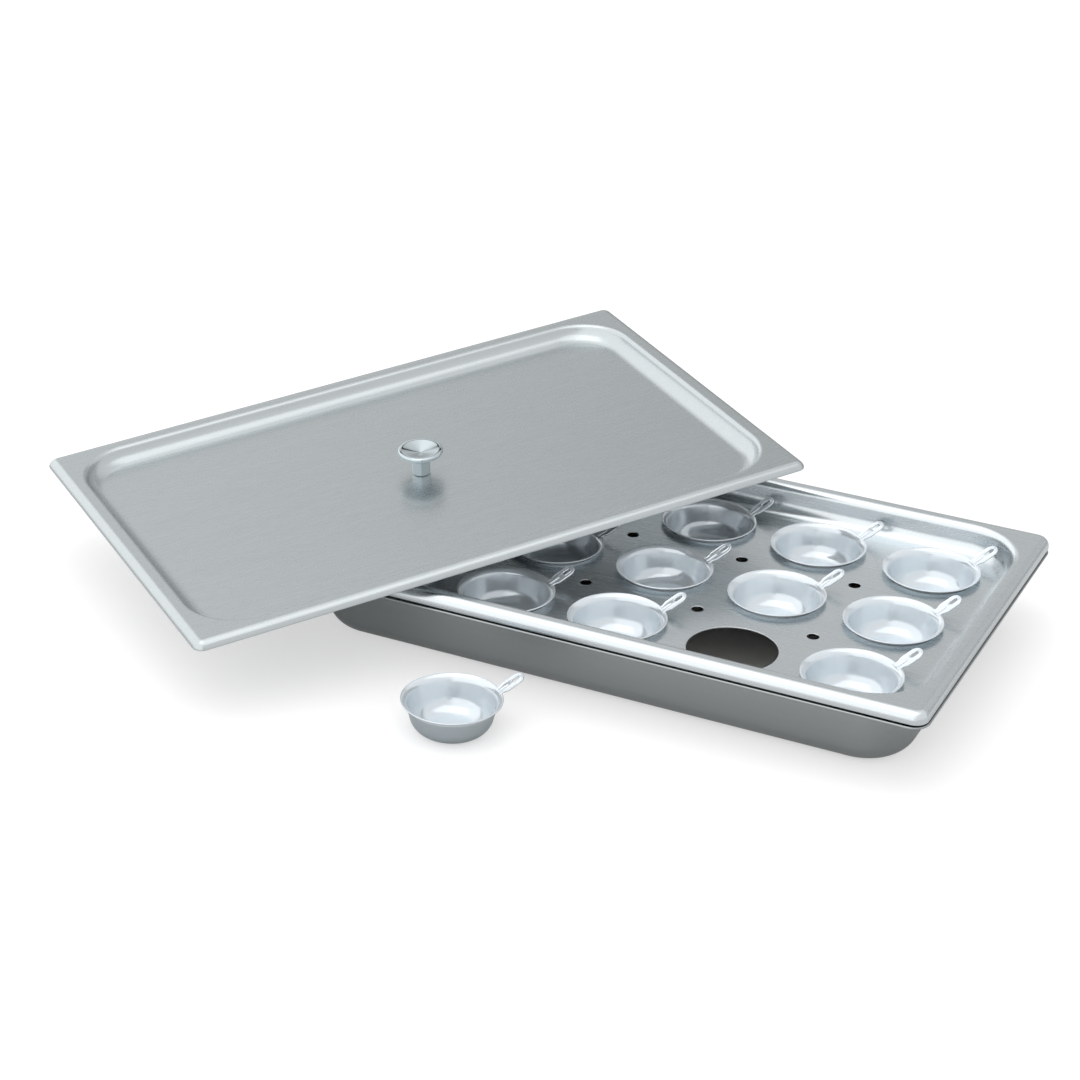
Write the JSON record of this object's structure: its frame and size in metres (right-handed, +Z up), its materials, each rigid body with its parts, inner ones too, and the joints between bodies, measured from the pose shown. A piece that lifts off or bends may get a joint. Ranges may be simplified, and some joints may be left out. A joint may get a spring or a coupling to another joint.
{
  "type": "egg poacher pan",
  "caption": "Full-size steam pan with a drop-in tray of egg cups on slanting handles and a dished lid with a round knob, for poaching eggs over boiling water.",
  "frame": {"origin": "centre of the pan's underside, on the surface that the pan and the loose cup stand on", "axes": "+X along the pan's long side, +Y across it, away from the loose cup, +Z up"},
  "size_m": [0.7659, 0.6118, 0.1258],
  "materials": {
    "pan_steel": "satin stainless steel",
    "tray_steel": "satin stainless steel",
    "lid_steel": "satin stainless steel",
    "cup_metal": "polished",
    "knob_chrome": "polished",
    "fixing_steel": "plain"
  },
  "bodies": {
    "pan": {"water_pan": "pan_steel"},
    "tray": {"cup_tray": "tray_steel"},
    "lid": {"lid_cover": "lid_steel", "lid_knob": "knob_chrome", "lid_knob_screw": "fixing_steel", "lid_knob_washer": "fixing_steel"},
    "cup_01": {"cup_01": "cup_metal"},
    "cup_02": {"cup_02": "cup_metal"},
    "cup_03": {"cup_03": "cup_metal"},
    "cup_04": {"cup_04": "cup_metal"},
    "cup_05": {"cup_05": "cup_metal"},
    "cup_06": {"cup_06": "cup_metal"},
    "cup_07": {"cup_07": "cup_metal"},
    "cup_08": {"cup_08": "cup_metal"},
    "cup_09": {"cup_09": "cup_metal"},
    "cup_10": {"cup_10": "cup_metal"},
    "cup_11": {"cup_11": "cup_metal"},
    "cup_12": {"cup_12": "cup_metal"},
    "cup_13": {"cup_13": "cup_metal"},
    "cup_14": {"cup_14": "cup_metal"},
    "cup_15": {"cup_15": "cup_metal"}
  },
  "joints": [
    {"name": "tray_lift", "type": "slide", "parent": "pan", "child": "tray", "axis": [0, 0, 1], "range_m": [0, 0.09]},
    {"name": "lid_lift", "type": "slide", "parent": "tray", "child": "lid", "axis": [0, 0, 1], "range_m": [0, 0.15]},
    {"name": "cup_01_lift", "type": "slide", "parent": "tray", "child": "cup_01", "axis": [0, 0, 1], "range_m": [0, 0.06]},
    {"name": "cup_02_lift", "type": "slide", "parent": "tray", "child": "cup_02", "axis": [0, 0, 1], "range_m": [0, 0.06]},
    {"name": "cup_03_lift", "type": "slide", "parent": "tray", "child": "cup_03", "axis": [0, 0, 1], "range_m": [0, 0.06]},
    {"name": "cup_04_lift", "type": "slide", "parent": "pan", "child": "cup_04", "axis": [0, 0, 1], "range_m": [0, 0.06]},
    {"name": "cup_05_lift", "type": "slide", "parent": "tray", "child": "cup_05", "axis": [0, 0, 1], "range_m": [0, 0.06]},
    {"name": "cup_06_lift", "type": "slide", "parent": "tray", "child": "cup_06", "axis": [0, 0, 1], "range_m": [0, 0.06]},
    {"name": "cup_07_lift", "type": "slide", "parent": "tray", "child": "cup_07", "axis": [0, 0, 1], "range_m": [0, 0.06]},
    {"name": "cup_08_lift", "type": "slide", "parent": "tray", "child": "cup_08", "axis": [0, 0, 1], "range_m": [0, 0.06]},
    {"name": "cup_09_lift", "type": "slide", "parent": "tray", "child": "cup_09", "axis": [0, 0, 1], "range_m": [0, 0.06]},
    {"name": "cup_10_lift", "type": "slide", "parent": "tray", "child": "cup_10", "axis": [0, 0, 1], "range_m": [0, 0.06]},
    {"name": "cup_11_lift", "type": "slide", "parent": "tray", "child": "cup_11", "axis": [0, 0, 1], "range_m": [0, 0.06]},
    {"name": "cup_12_lift", "type": "slide", "parent": "tray", "child": "cup_12", "axis": [0, 0, 1], "range_m": [0, 0.06]},
    {"name": "cup_13_lift", "type": "slide", "parent": "tray", "child": "cup_13", "axis": [0, 0, 1], "range_m": [0, 0.06]},
    {"name": "cup_14_lift", "type": "slide", "parent": "tray", "child": "cup_14", "axis": [0, 0, 1], "range_m": [0, 0.06]},
    {"name": "cup_15_lift", "type": "slide", "parent": "tray", "child": "cup_15", "axis": [0, 0, 1], "range_m": [0, 0.06]}
  ],
  "couplings": [
    {"joint": "cup_01_lift", "follows": "lid_lift", "ratio": 0.4},
    {"joint": "cup_02_lift", "follows": "lid_lift", "ratio": 0.4},
    {"joint": "cup_06_lift", "follows": "lid_lift", "ratio": 0.4},
    {"joint": "cup_07_lift", "follows": "lid_lift", "ratio": 0.4},
    {"joint": "cup_08_lift", "follows": "lid_lift", "ratio": 0.4},
    {"joint": "cup_11_lift", "follows": "lid_lift", "ratio": 0.4},
    {"joint": "cup_12_lift", "follows": "lid_lift", "ratio": 0.4},
    {"joint": "cup_13_lift", "follows": "lid_lift", "ratio": 0.4},
    {"joint": "cup_14_lift", "follows": "lid_lift", "ratio": 0.4}
  ]
}
